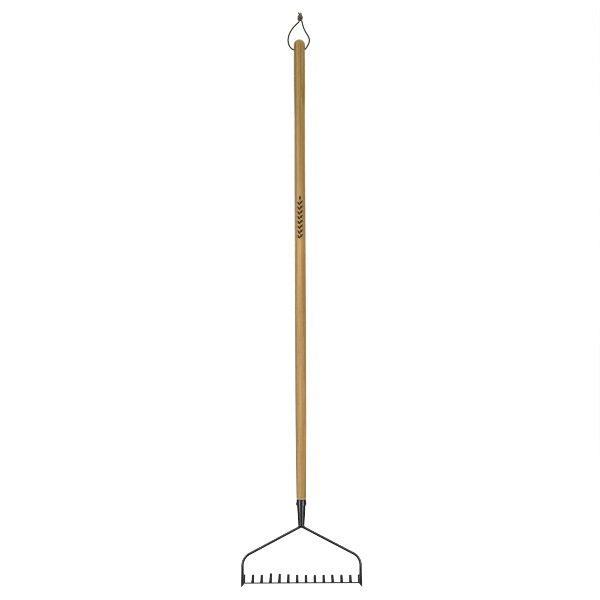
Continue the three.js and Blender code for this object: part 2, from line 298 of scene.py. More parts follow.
def rounded(corners, radius, steps=5):
    """An outline with its inner corners rounded off. Each corner's radius shrinks to fit its sides."""
    made = [corners[0]]
    for before, corner, after in zip(corners, corners[1:], corners[2:]):
        here = np.array(corner, float)
        back, on = np.array(before, float) - here, np.array(after, float) - here
        reach = min(radius, 0.45 * np.linalg.norm(back), 0.45 * np.linalg.norm(on))
        start = here + back / np.linalg.norm(back) * reach
        end = here + on / np.linalg.norm(on) * reach
        for i in range(steps + 1):
            t = i / steps
            made.append(tuple((1 - t) ** 2 * start + 2 * t * (1 - t) * here + t ** 2 * end))
    made.append(corners[-1])
    return made


def flat_end(ring):
    """Inset rings that close a ring with a flat face."""
    centre = np.mean(ring, axis=0)
    inner = [[tuple(centre + (np.array(p) - centre) * share) for p in ring] for share in (0.86, 0.45)]
    return inner + [[tuple(centre)]]


def mark(made, name, values):
    """Keeps one number per vertex under a name, for the piece's finish to read."""
    layer = made.data.attributes.new(name, "FLOAT", "POINT")
    layer.data.foreach_set("value", np.array(values, np.float32))


def superellipse(half_width, half_height, power, points):
    """Points round a section that is an ellipse at power 2 and nears a rectangle as the power grows."""
    def squared(wave):
        return np.sign(wave) * np.abs(wave) ** (2 / power)

    angles = (np.arange(points) + 0.5) * 2 * np.pi / points
    return list(zip(squared(np.cos(angles)) * half_width, squared(np.sin(angles)) * half_height))


def smooth(low, high, value):
    """0 below low, 1 above high, and a smooth turn between them."""
    t = min(max((value - low) / (high - low), 0.0), 1.0)
    return t * t * (3 - 2 * t)


def cut_away(target, tool):
    """Cuts the tool's shape out of the target's mesh, then deletes the tool."""
    cutter = target.modifiers.new("cut", "BOOLEAN")
    cutter.operation = "DIFFERENCE"
    cutter.solver = "EXACT"
    cutter.object = tool
    bpy.context.view_layer.update()
    graph = bpy.context.evaluated_depsgraph_get()
    mesh = bpy.data.meshes.new_from_object(target.evaluated_get(graph))
    target.modifiers.clear()
    old = target.data
    target.data = mesh
    bpy.data.meshes.remove(old)
    bpy.data.objects.remove(tool)
    mesh.name = target.name
    mesh.shade_smooth()
    mesh.set_sharp_from_angle(angle=math.radians(SHARP_DEGREES))
    return target


# -------- handle

def turned_profile(node, least=20):
    """Height and radius of each turned level of a CAD node, read from its own vertices.

    A level has at least so many vertices, or it is a pole on the axis.
    """
    co = np.array([v.co for v in frame["nodes"][node].data.vertices], float)
    radius = np.hypot(co[:, 0], co[:, 1] - AXIS_Y)
    levels = np.round(co[:, 2], 5)
    found = []
    for level in np.unique(levels):
        here = radius[levels == level]
        if len(here) >= least or len(here) == 1 and here[0] < 1e-5:
            found.append((level, here.max()))
    return found


def smooth_profile(knots, heights):
    """Radius at each height along a smooth curve through the knots (Hermite, with limited slopes)."""
    z, r = np.array(knots, float).T
    slope = np.diff(r) / np.diff(z)
    tangent = np.concatenate([[slope[0]], (slope[:-1] + slope[1:]) / 2, [slope[-1]]])
    tangent[1:-1][slope[:-1] * slope[1:] <= 0] = 0
    made = []
    for h in heights:
        i = min(max(np.searchsorted(z, h) - 1, 0), len(z) - 2)
        width = z[i + 1] - z[i]
        t = (h - z[i]) / width
        made.append((2 * t ** 3 - 3 * t ** 2 + 1) * r[i] + (t ** 3 - 2 * t ** 2 + t) * width * tangent[i]
                    + (3 * t ** 2 - 2 * t ** 3) * r[i + 1] + (t ** 3 - t ** 2) * width * tangent[i + 1])
    return made


def sprig_field(across, up):
    """Metres inside (+) or outside (-) the burnt sprig's outline: a stem with paired, pointed leaves."""
    half = SPRIG_LENGTH / 2
    inside = min(SPRIG_STEM - abs(across), half - SPRIG_STEM_INSET - abs(up))
    count = int((SPRIG_LENGTH - SPRIG_BARE_STEM) / SPRIG_LEAF_PITCH)
    leaves = [(side, (i - count / 2) * SPRIG_LEAF_PITCH + side * SPRIG_LEAF_PITCH / 8, SPRIG_LEAF_TILT)
              for i in range(count) for side in (-1, 1)]
    leaves.append((0, half - SPRIG_TOP_LEAF, 0.0))
    length, width = SPRIG_LEAF
    reach = length + SPRIG_LEAF_GAP
    for side, base, tilt in leaves:
        u = across - side * math.sin(tilt) * reach
        v = up - base - math.cos(tilt) * reach
        along = u * side * math.sin(tilt) + v * math.cos(tilt)
        aside = u * math.cos(tilt) - v * side * math.sin(tilt)
        inside = max(inside, width * (1 - (along / length) ** 2) - abs(aside))
    return min(max(inside, -SPRIG_FADE), SPRIG_FADE)


def burn_at(angle, radius, z):
    """The sprig's field at a point of the handle. Away from the sprig it is at its lowest."""
    if SPRIG_LOW <= z <= SPRIG_HIGH and abs(angle) <= SPRIG_SECTOR:
        return sprig_field(angle * radius, z - SPRIG_Z)
    return -SPRIG_FADE


def shaft_angles():
    """Angles round the shaft, 0 at the front. They lie closer together where the sprig is."""
    front = np.linspace(-SPRIG_SECTOR, SPRIG_SECTOR, SPRIG_POINTS)
    rest = np.linspace(SPRIG_SECTOR, 2 * math.pi - SPRIG_SECTOR, HANDLE_POINTS + 1)[1:-1]
    angles = np.concatenate([front, rest])
    return np.where(angles > math.pi, angles - 2 * math.pi, angles)


def handle_outline():
    """The handle's outline as (radius, height), by the CAD node's turned levels, and the grip's radius."""
    knots = turned_profile("handle")
    shoulder = COLLAR_HIGH.z + 0.5 * MM
    hidden = [(r, z) for z, r in knots if z <= shoulder]
    body = [(z, r) for z, r in knots if z > shoulder]
    grip = max(r for z, r in body)
    dome_z = HANDLE_HIGH.z - grip
    shaft = [(z, r) for z, r in body if z < dome_z + 1e-5]
    heights = [h for h in np.arange(shaft[0][0], dome_z, HANDLE_STEP) if not SPRIG_LOW < h < SPRIG_HIGH]
    heights += list(np.arange(SPRIG_LOW, SPRIG_HIGH, SPRIG_STEP))
    heights = sorted(heights) + [dome_z]
    corners = [(0.0, hidden[0][1])] + hidden[1:] + [(shaft[0][1], shaft[0][0])]
    outline = rounded(corners, SHOULDER_ROUND)[:-1]
    outline += list(zip(smooth_profile(shaft, heights), heights))
    for i in range(1, DOME_STEPS):
        a = math.pi / 2 * i / DOME_STEPS
        outline.append((grip * math.cos(a), dome_z + grip * math.sin(a)))
    return outline + [(0.0, HANDLE_HIGH.z)], grip


def make_handle():
    """The turned handle: tenon, chamfered shoulder, shaft with the burnt sprig, domed grip."""
    outline, grip = handle_outline()
    angles = shaft_angles()
    rings, burnt = [], []
    for radius, z in outline:
        if radius == 0:
            rings.append([(0.0, AXIS_Y, z)])
            burnt.append(-SPRIG_FADE)
            continue
        ring = []
        for angle in angles:
            field = burn_at(angle, radius, z)
            sunk = radius - SPRIG_DEPTH * smooth(-SPRIG_EDGE, SPRIG_EDGE, field)
            ring.append((sunk * math.sin(angle), AXIS_Y - sunk * math.cos(angle), z))
            burnt.append(field)
        rings.append(ring)
    handle = loft("ash_handle", rings)
    mark(handle, "burnt", np.array(burnt) / SPRIG_FADE)
    return cut_away(handle, cord_drill(grip))


def cord_drill(grip):
    """A drill along X with flared ends, so that the hole gets rounded lips where it leaves the grip."""
    lip = CORD_HOLE_LIP
    flare_start, beyond = grip - lip * 1.15, grip + 4 * MM
    flare = [(CORD_HOLE_RADIUS + lip * (1 - math.cos(a)), flare_start + lip * math.sin(a))
             for a in np.linspace(0, math.pi / 2, 7)]
    outline = both_ways(flare + [(CORD_HOLE_RADIUS + lip, beyond), (0.0, beyond)])
    rings = turned_rings(outline, CORD_HOLE_POINTS, lambda r, a, x: crosswise(r, a, x, HOLE_Z))
    return loft("cord_drill", rings)


# -------- socket, collar, rivet and weld

def make_socket():
    """The tapered cup, with a softly flared foot that sits over the bow."""
    foot_z, neck_z = SOCKET_LOW.z, COLLAR_LOW.z
    floor_z = foot_z + SOCKET_FLOOR
    neck = SOCKET_HIGH.x
    bore = neck - SOCKET_WALL
    outline = rounded([
        (0.0, foot_z),
        (SOCKET_FOOT_RADIUS, foot_z),
        (neck, neck_z),
        (neck, SOCKET_HIGH.z),
        (bore, SOCKET_HIGH.z),
        (bore, neck_z),
        (SOCKET_FOOT_RADIUS - SOCKET_WALL + 0.7 * MM, floor_z),
        (0.0, floor_z),
    ], SOCKET_ROUND)
    socket = loft("steel_socket", turned_rings(outline, SOCKET_POINTS, upright))
    return cut_away(socket, loft("saddle_tool", saddle_rings()))


def make_collar():
    """The ring pressed over the socket's mouth, worn to a paler edge at both rims."""
    outer, bore = COLLAR_HIGH.x, SOCKET_HIGH.x + 0.15 * MM
    waist = outer - COLLAR_BEAD
    low, high = COLLAR_LOW.z, COLLAR_HIGH.z
    corners = [
        (bore, low + 2 * MM),
        (bore, low),
        (outer, low),
        (outer, low + 2.2 * MM),
        (waist, low + 3.2 * MM),
        (waist, high - 3.2 * MM),
        (outer, high - 2.2 * MM),
        (outer, high),
        (bore, high),
        (bore, low + 2 * MM),
    ]
    rings = turned_rings(rounded(corners, COLLAR_ROUND), SOCKET_POINTS, upright)
    collar = loft("collar_ring_steel", rings[:-1], joined=True)
    middle, half = (low + high) / 2, (high - low) / 2
    from_middle = [abs(v.co.z - middle) / half for v in collar.data.vertices]
    mark(collar, "worn", [0.56 * smooth(0.84, 1.0, share) for share in from_middle])
    return collar


def make_rivet():
    """A cross rivet with a hammered, slightly uneven low head at each end."""
    middle_z = (RIVET_LOW.z + RIVET_HIGH.z) / 2
    head = (RIVET_HIGH.z - RIVET_LOW.z) / 2
    shank = head * 0.6
    seat = COLLAR_HIGH.x - 0.5 * MM  # the head's rim is sunk a little into the round collar
    tip = seat + RIVET_RISE
    dome = [(head * math.cos(a) ** 0.7, seat + (tip - seat) * math.sin(a))
            for a in np.linspace(0.1, math.pi / 2 - 0.1, 11)]
    outline = both_ways([(shank, seat - 2 * MM), (shank, seat), (head, seat)] + dome + [(0.0, tip)])

    def spot(radius, angle, across):
        dent = noise.noise(Vector((math.cos(angle) * 1.7, math.sin(angle) * 1.7, across * 900)))
        return crosswise(radius * (1 + 0.035 * dent), angle, across, middle_z)

    return loft("rivet_heads", turned_rings(outline, RIVET_POINTS, spot))


def make_neck_weld():
    """A hand-laid bead round the socket's foot. At each side it runs down on to the sloping bow."""
    half_x = (WELD_HIGH.x - WELD_LOW.x) / 2 - WELD_INSET[0]
    half_y = (WELD_HIGH.y - WELD_LOW.y) / 2 - WELD_INSET[1]
    slope = (BOW_APEX_Z - BOW_CORNER_Z) / BOW_SPAN
    level = SOCKET_LOW.z - 0.6 * MM
    rings = []
    for i in range(WELD_STATIONS):
        turn = 2 * math.pi * i / WELD_STATIONS
        x, y = half_x * math.cos(turn), half_y * math.sin(turn)
        sideways = smooth(0.35, 0.95, abs(math.cos(turn)))
        rod_top = BOW_APEX_Z + ROD_RADIUS - slope * (abs(x) + 1 * MM)
        z = level + (rod_top - level) * sideways
        lap = 0.026 * math.sin(WELD_RIPPLES * turn + 1.5 * math.sin(3 * turn))
        lump = 0.08 * noise.noise(Vector((x, y, z)) * 260)
        size = (WELD_RADIUS + 0.2 * MM * sideways) * (1 + lap + lump)
        out = Vector((half_y * math.cos(turn), half_x * math.sin(turn))).normalized()
        ring = []
        for k in range(WELD_POINTS):
            a = 2 * math.pi * k / WELD_POINTS
            reach = size * math.cos(a) * (1.0 + 0.25 * sideways * max(-math.sin(a), 0))
            ring.append((x + out.x * reach, AXIS_Y + y + out.y * reach, z + 0.92 * size * math.sin(a)))
        rings.append(ring)
    return loft("neck_weld_bead", rings, joined=True)


# -------- bow

def bow_stations():
    """Stations along the rod as (x, z, heading), from the left toe over the apex to the right toe."""
    corners = [(-BOW_SPAN, 0.0), (-BOW_SPAN, BOW_CORNER_Z), (0.0, BOW_APEX_Z),
               (BOW_SPAN, BOW_CORNER_Z), (BOW_SPAN, 0.0)]
    radii = [BOW_CORNER_RADIUS, BOW_APEX_RADIUS, BOW_CORNER_RADIUS]
    stations = []
    here = np.array(corners[0])
    for before, corner, after, radius in zip(corners, corners[1:], corners[2:], radii):
        corner = np.array(corner)
        arriving = (corner - before) / np.linalg.norm(corner - before)
        leaving = (after - corner) / np.linalg.norm(after - corner)
        turn = math.acos(float(arriving @ leaving))
        setback = radius * math.tan(turn / 2)
        heading = math.atan2(arriving[1], arriving[0])
        bend_start = corner - arriving * setback
        stations += straight(here, bend_start, heading)
        centre = bend_start + radius * np.array([arriving[1], -arriving[0]])
        steps = max(8, round(radius * turn / ROD_STEP))
        for i in range(1, steps + 1):
            now = heading - turn * i / steps
            stations.append((*(centre + radius * np.array([-math.sin(now), math.cos(now)])), now))
        here = corner + leaving * setback
    return stations + straight(here, np.array(corners[-1]), -math.pi / 2)


def straight(start, end, heading):
    """Stations along a straight stretch of the rod, both ends included."""
    steps = max(2, round(np.linalg.norm(end - start) / ROD_STEP))
    return [(*(start + (end - start) * i / steps), heading) for i in range(steps + 1)]


def across_rod(station, section):
    """A section's points, set square to the rod at a station."""
    x, z, heading = station
    inward = (-math.sin(heading), math.cos(heading))
    return [(x + inward[0] * u, AXIS_Y + v, z + inward[1] * u) for u, v in section]


def saddle_rings():
    """The round rod near its apex, closed at both ends, to cut the saddle in the socket's foot."""
    section = superellipse(SADDLE_RADIUS, SADDLE_RADIUS, 2, ROD_POINTS)
    rings = [across_rod(station, section) for station in bow_stations() if abs(station[0]) <= SADDLE_REACH]
    ends = [[tuple(np.mean(ring, axis=0))] for ring in (rings[0], rings[-1])]
    return [ends[0]] + rings + [ends[1]]


def arm_section(z):
    """The rod's section at a height: round above, hammered wide and flat towards the toe."""
    share = min(max((PAD_TOP_Z - z) / PAD_TOP_Z, 0.0), 1.0)
    flat = smooth(0, 0.55, share)
    half_width = ROD_RADIUS + (PAD_WIDTH / 2 - ROD_RADIUS) * share ** 2
    half_thickness = ROD_RADIUS + (PAD_THICKNESS / 2 - ROD_RADIUS) * flat
    return superellipse(half_width, half_thickness, 2 + 2.2 * flat, ROD_POINTS)


def make_bow():
    """The bent rod, with each flattened end cut on the slant and its edges dressed."""
    shaped = []
    for station in bow_stations():
        ring = across_rod(station, arm_section(station[1]))
        base = sum(p[2] for p in ring) / len(ring)
        side = math.copysign(1, ring[0][0])
        slant = 1 - smooth(0, TOE_START, base)
        moved = []
        for x, y, z in ring:
            across = (side * x - (BOW_SPAN - PAD_WIDTH / 2)) / PAD_WIDTH
            drop = -TOE_DROP * min(max(across, 0.0) / (1 - TOE_BLUNT), 1.0)
            moved.append((x, y, z + slant * drop))
        shaped.append(moved)
    left, right = toe_cap(shaped[0]), toe_cap(shaped[-1])
    bow = loft("bow_rod", left[::-1] + shaped + right, sharp_degrees=50)
    mark(bow, "worn", [0.5 * (1 - smooth(-TOE_DROP, 8 * MM, v.co.z)) for v in bow.data.vertices])
    return bow


def toe_cap(ring):
    """Closes a slanted end with a small rounded edge and a flat face."""
    centre = Vector(np.mean(ring, axis=0))
    rounds = []
    for i in range(1, 5):
        a = math.pi / 2 * i / 4
        inset, up = TOE_EDGE * (1 - math.cos(a)), Vector((0, 0, TOE_EDGE * (1 - math.sin(a))))
        rounds.append([tuple(Vector(p) + (centre - Vector(p)).normalized() * inset + up) for p in ring])
    return rounds + flat_end(rounds[-1])


# -------- head bar and tines

def make_bar():
    """A hot-rolled strip with softened edges and the faint waviness of rolled stock."""
    half_depth, half_height = (BAR_HIGH.y - BAR_LOW.y) / 2, (BAR_HIGH.z - BAR_LOW.z) / 2
    rings = []
    for i in range(BAR_STATIONS + 1):
        x = BAR_LOW.x + (BAR_HIGH.x - BAR_LOW.x) * i / BAR_STATIONS
        inset = BAR_END_INSETS.get(min(i, BAR_STATIONS - i), 0.0)
        section = superellipse(half_depth - inset, half_height - inset, BAR_SQUARENESS, BAR_POINTS)
        wave = BAR_WAVE * noise.noise(Vector((x * 60, 0, 0)))
        rings.append([(x, u + wave, half_height + v) for u, v in section])
    rings = flat_end(rings[0])[::-1] + rings + flat_end(rings[-1])
    return loft("head_bar_steel", rings, sharp_degrees=50)


def make_tine(name, seed):
    """One forged tine: a flat welded root on the bar, then a blade that curves up to a dressed tip."""
    low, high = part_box(name)
    middle_x = (low.x + high.x) / 2
    run, rise = high.y - low.y, high.z - low.z
    flat = BAR_HIGH.y - low.y
    (root_width, root_thickness), (tip_width, tip_thickness) = TINE_ROOT, TINE_TIP
    # The blade's middle line is one arc. It leaves room in the CAD box for the thickness of the tip.
    free_run = run - flat - tip_thickness * 0.24
    climb = rise - root_thickness / 2 - tip_thickness * 0.35
    bend_angle = 2 * math.atan2(climb, free_run)
    bend_radius = free_run / math.sin(bend_angle)
    reach = flat + bend_radius * bend_angle
    lean = TINE_LEAN * noise.noise(Vector((seed * 7.31, 1.5, 0)))
    twist = TINE_TWIST * noise.noise(Vector((seed * 3.77, 9.5, 0)))
    slant = TINE_TIP_SLANT * noise.noise(Vector((seed * 5.13, 4.5, 0)))
    rings = []
    for i in range(TINE_STEPS + 1):
        share = math.sin(math.pi / 2 * i / TINE_STEPS)  # closer rings at the tip
        along = share * reach
        angle = max(0.0, along - flat) / bend_radius
        y = low.y + min(along, flat) + bend_radius * math.sin(angle)
        z = low.z + root_thickness / 2 + bend_radius * (1 - math.cos(angle))
        into_tip = max(0.0, (along - reach + TINE_NOSE) / TINE_NOSE)
        on_bar = 1 - smooth(flat * 0.85, flat * 1.5, along)
        edge = 1 - 0.34 * into_tip ** 3
        root_round = 1 - 0.06 * (1 - smooth(0, 0.02, share))
        width = (root_width + (tip_width - root_width) * share) * edge * root_round
        thickness = (root_thickness + (tip_thickness - root_thickness) * share) * root_round
        thickness *= 0.35 + 0.65 * edge
        hammer = TINE_HAMMER * noise.noise(Vector((seed, along * 160, 2.5)))
        turn = twist * smooth(0.2, 1, share)
        ring = []
        for u, v in superellipse(width / 2 + hammer, thickness / 2, TINE_SQUARENESS, TINE_POINTS):
            foot = max(0.0, -v / (thickness / 2) - 0.2) / 0.8
            u += math.copysign(TINE_FILLET * foot ** 2 * on_bar, u)
            u, v = u * math.cos(turn) - v * math.sin(turn), u * math.sin(turn) + v * math.cos(turn)
            aside = (along - flat) * lean * (1 - on_bar)
            slanted = slant * into_tip * u / (width / 2 + 1e-6)
            ring.append((middle_x + u + aside, y - v * math.sin(angle) + slanted, z + v * math.cos(angle)))
        rings.append(ring)
    rings = flat_end(rings[0])[::-1] + rings + flat_end(rings[-1])
    tine = loft(name.replace("tine", "forged_tine"), rings, sharp_degrees=50)
    mark(tine, "worn", [0.5 * smooth(0.75, 1.0, (v.co.y - low.y) / run) for v in tine.data.vertices])
    return tine


# -------- hanging cord

def bezier(points, steps):
    """Points along the cubic curve that four control points give."""
    a, b, c, d = (np.array(p, float) for p in points)
    return [(1 - t) ** 3 * a + 3 * t * (1 - t) ** 2 * b + 3 * t * t * (1 - t) * c + t ** 3 * d
            for t in np.linspace(0, 1, steps)]


def cord_tube(path):
    """A round lace along a path, with frames carried along it so that it doesn't twist."""
    path = [Vector(p) for p in path]
    tangents = [(b - a).normalized() for a, b in zip(path, path[1:])]
    tangents = [tangents[0]] + [(a + b).normalized() for a, b in zip(tangents, tangents[1:])] + [tangents[-1]]
    side = tangents[0].orthogonal().normalized()
    rings = []
    for point, tangent in zip(path, tangents):
        side = (side - tangent * side.dot(tangent)).normalized()
        other = tangent.cross(side)
        ring = []
        for k in range(CORD_POINTS):
            a = 2 * math.pi * k / CORD_POINTS
            out = side * math.cos(a) + other * math.sin(a)
            bump = 1 + 0.05 * noise.noise((point + out * CORD_RADIUS) * 420)
            ring.append(tuple(point + out * CORD_RADIUS * bump))
        rings.append(ring)
    caps = []
    for ring, point, away in ((rings[0], path[0], -tangents[0]), (rings[-1], path[-1], tangents[-1])):
        bulge = away * CORD_CUT_ROUND
        shrunk = [[tuple(point + (Vector(p) - point) * share + bulge) for p in ring]
                  for share in (0.88, 0.74)]
        caps.append(shrunk + [[tuple(point + bulge)]])
    rings = caps[0][::-1] + rings + caps[1]
    made = loft("leather_lace", rings, body="cord_loop", sharp_degrees=60)
    inner = 1 + CORD_POINTS  # the pole and the inner cap ring at each end
    between = len(made.data.vertices) - 2 * inner
    mark(made, "cut", [1.0] * inner + [0.0] * between + [1.0] * inner)
    return made


def loose_knot():
    """Two laces laid side by side in one open overhand knot, each from below it to above it."""
    t = np.linspace(-2.12, 2.12, 96)  # for a trefoil knot as a polynomial curve
    curve = np.stack([t ** 4 - 4 * t ** 2 + 2.2, 0.5 * (t ** 5 - 10 * t), t ** 3 - 3 * t], axis=1)
    laces = []
    for side in (-1, 1):
        lace = curve * KNOT_SIZE * MM + np.array([0, side * KNOT_SPREAD, 0])
        (foot_x, foot_z), (end_x, end_z) = KNOT_FEET[side > 0], KNOT_ENDS[side < 0]
        foot, end = np.array([foot_x, 0, foot_z]), np.array([end_x, 0, end_z])
        leading = np.linspace(foot, lace[0], 16)[:-1]
        leaving = np.linspace(lace[-1], end, 16)[1:]
        laces.append(np.concatenate([leading, lace, leaving]))
    return laces


def tie_knot():
    """The two laces of the loose knot, shortened until it is tight.

    They are chains of points that keep their spacing, resist bending, and push each other apart
    wherever they come closer than one lace's thickness.
    """
    laces = loose_knot()
    count = len(laces[0])
    points = np.concatenate(laces)
    halves = [points[:count], points[count:]]  # these share the memory of points
    spacing = [lengths(lace).sum() / (count - 1) for lace in laces]
    pins = [0, count - 1, count, 2 * count - 1]
    held = points[pins].copy()
    which = np.repeat([0, 1], count)
    along = np.tile(np.arange(count), 2)
    once = np.triu(np.ones((2 * count, 2 * count), bool), 1)
    other_lace = which[:, None] != which[None]
    steps_apart = np.abs(along[:, None] - along[None])
    gap = 2 * CORD_RADIUS * KNOT_SQUEEZE
    for _ in range(KNOT_STEPS):
        for _ in range(5):  # pairs from point 0 on, then pairs from point 1 on
            for lace, wanted in zip(halves, spacing):
                keep_spacing(lace[0:count // 2 * 2], wanted)
                keep_spacing(lace[1:1 + (count - 1) // 2 * 2], wanted)
            points[pins] = held
        for lace in halves:
            lace[1:-1] += KNOT_STIFFNESS * ((lace[:-2] + lace[2:]) / 2 - lace[1:-1])
        may_touch = once & (other_lace | (steps_apart > KNOT_NEAR * gap / min(spacing)))
        deepest = max(push_apart(points, may_touch, gap, pins, held) for _ in range(3))
        for i, lace in enumerate(halves):
            stretched = lengths(lace).sum() >= KNOT_STRETCH * spacing[i] * (count - 1)
            if deepest < KNOT_OVERLAP * gap and not stretched:
                spacing[i] *= KNOT_TIGHTEN
    lean = np.array([[math.cos(KNOT_LEAN), 0, -math.sin(KNOT_LEAN)],
                     [0, 1, 0],
                     [math.sin(KNOT_LEAN), 0, math.cos(KNOT_LEAN)]])
    return [lace @ lean.T for lace in halves]


def lengths(path):
    """The distance from each point of a path to the next."""
    return np.linalg.norm(np.diff(path, axis=0), axis=1)


def keep_spacing(lace, wanted):
    """Moves the two points of each pair, in place, to the wanted distance."""
    a, b = lace[0::2], lace[1::2]
    between = b - a
    move = between * (0.5 * (1 - wanted / np.linalg.norm(between, axis=1, keepdims=True)))
    a += move
    b -= move


def push_apart(points, may_touch, gap, pins, held):
    """Pushes points apart, in place, where they are closer than the gap. Gives the worst overlap."""
    square = (points ** 2).sum(1)
    i, j = np.nonzero((square[:, None] + square[None] - 2 * points @ points.T < gap * gap) & may_touch)
    if not len(i):
        return 0.0
    between = points[i] - points[j]
    distance = np.linalg.norm(between, axis=1, keepdims=True)
    push = between * (0.5 * (gap - distance) / np.maximum(distance, 1e-9))
    move, hits = np.zeros_like(points), np.zeros(len(points))
    np.add.at(move, i, push)
    np.add.at(move, j, -push)
    np.add.at(hits, i, 1)
    np.add.at(hits, j, 1)
    points += KNOT_PUSH * move / np.maximum(hits, 1)[:, None]
    points[pins] = held
    return float((gap - distance).max())


def even_path(path, spacing):
    """The same path with evenly spaced points and its small kinks smoothed out."""
    path = np.array(path)
    reached = np.concatenate([[0], np.cumsum(lengths(path))])
    at = np.linspace(0, reached[-1], round(reached[-1] / spacing))
    even = np.stack([np.interp(at, reached, path[:, k]) for k in range(3)], axis=1)
    for _ in range(6):
        even[1:-1] = (even[:-2] + 2 * even[1:-1] + even[2:]) / 4
    return even


def make_cord():
    """One lace: up out of the hole on both sides, knotted together, with two short cut tails."""
    out = HANDLE_HIGH.x - 1 * MM
    sides = []
    for lace, side, leaving, closing in zip(tie_knot(), (-1, 1), LOOP_LEAVING, LOOP_CLOSING):
        lace = lace + np.array([KNOT_PLACE[0], AXIS_Y, KNOT_PLACE[1]])
        start = np.argmax(lace[:, 2] > KNOT_PLACE[1] - KNOT_ENTRY)
        end = np.argmax(lace[:, 2] > CORD_HIGH.z - 1.2 * MM) or len(lace)  # 0 if it never gets there
        hole = np.array([side * out, AXIS_Y, HOLE_Z])
        pull_out = hole + (leaving[0], 0, leaving[1])
        pull_in = lace[start] + (closing[0], 0, closing[1])
        strand = bezier([hole, pull_out, pull_in, lace[start]], STRAND_STEPS)
        sides.append(np.concatenate([strand[:-1], lace[start:end]]))
    left, right = sides
    through = np.array([[x, AXIS_Y, HOLE_Z] for x in np.linspace(-out, out, 24)])
    path = np.concatenate([left[::-1], through[1:-1], right])
    return cord_tube(even_path(path, CORD_STEP))


# -------- finishes

class Nodes:
    """A tree of shader nodes, with short calls that add nodes and give their outputs."""

    def __init__(self, tree):
        self.tree = tree

    def add(self, kind, inputs=(), **settings):
        """A new node. Its inputs take a number, a colour or another node's output."""
        node = self.tree.nodes.new("ShaderNode" + kind)
        for key, value in settings.items():
            setattr(node, key, value)
        for key, value in dict(inputs).items():
            self.feed(node.inputs[key], value)
        return node

    def feed(self, socket, value):
        """Links an output to a node's input, or sets the input to a plain value."""
        if isinstance(value, bpy.types.NodeSocket):
            self.tree.links.new(value, socket)
        else:
            socket.default_value = value

    def math(self, operation, a, b=0.0, clamp=False):
        return self.add("Math", {0: a, 1: b}, operation=operation, use_clamp=clamp).outputs[0]

    def plus(self, a, b):
        return self.math("ADD", a, b)

    def times(self, a, b):
        return self.math("MULTIPLY", a, b)

    def span(self, value, low, high, start=0.0, end=1.0):
        """Maps low..high smoothly on to start..end, and holds the ends."""
        inputs = {"Value": value, "From Min": low, "From Max": high, "To Min": start, "To Max": end}
        return self.add("MapRange", inputs, interpolation_type="SMOOTHSTEP").outputs["Result"]

    def camera_ray(self):
        """1 where the camera looks straight at the surface, else 0."""
        return self.add("LightPath").outputs["Is Camera Ray"]


class Finish(Nodes):
    """One procedural material. Its patterns lie in the piece's own place, in metres."""

    def __init__(self, name):
        self.material = bpy.data.materials.new(name)
        self.material.use_nodes = True
        super().__init__(self.material.node_tree)
        self.surface = self.tree.nodes["Principled BSDF"]
        self.place = self.add("TexCoord").outputs["Object"]

    def scaled(self, x, y, z):
        """The place, stretched by a factor on each axis."""
        return self.add("VectorMath", {0: self.place, 1: (x, y, z)}, operation="MULTIPLY").outputs[0]

    def axis(self, which):
        """One coordinate of the place: 0 is x, 1 is y and 2 is z."""
        return self.add("SeparateXYZ", {0: self.place}).outputs[which]

    def noise(self, place, scale=1.0, detail=2.0, roughness=0.5):
        """Cloudy values from about 0 to 1."""
        inputs = {"Vector": place, "Scale": scale, "Detail": detail, "Roughness": roughness}
        return self.add("TexNoise", inputs).outputs["Fac"]

    def mix(self, share, a, b, blend="MIX"):
        """A colour between a and b. With blend MULTIPLY, between a and a times b."""
        inputs = {0: share, 6: a, 7: b}
        return self.add("Mix", inputs, data_type="RGBA", blend_type=blend).outputs[2]

    def attribute(self, name):
        """The number that mark() kept for each vertex under a name."""
        return self.add("Attribute", attribute_name=name).outputs["Fac"]

    def bump(self, height, distance, strength=1.0, normal=None):
        """A normal bent by a height, on top of another normal if there is one."""
        node = self.add("Bump", {"Height": height, "Distance": distance, "Strength": strength})
        if normal is not None:
            self.feed(node.inputs["Normal"], normal)
        return node.outputs["Normal"]

    def done(self, **inputs):
        """Feeds the surface, with _ for a space in an input's name. Gives the material."""
        for key, value in inputs.items():
            self.feed(self.surface.inputs[key.replace("_", " ")], value)
        return self.material


def tone(red, green, blue):
    """A colour from its 0-255 screen values, by the sRGB curve."""
    linear = []
    for screen in (red / 255, green / 255, blue / 255):
        linear.append(screen / 12.92 if screen <= 0.04045 else ((screen + 0.055) / 1.055) ** 2.4)
    return (*linear, 1.0)


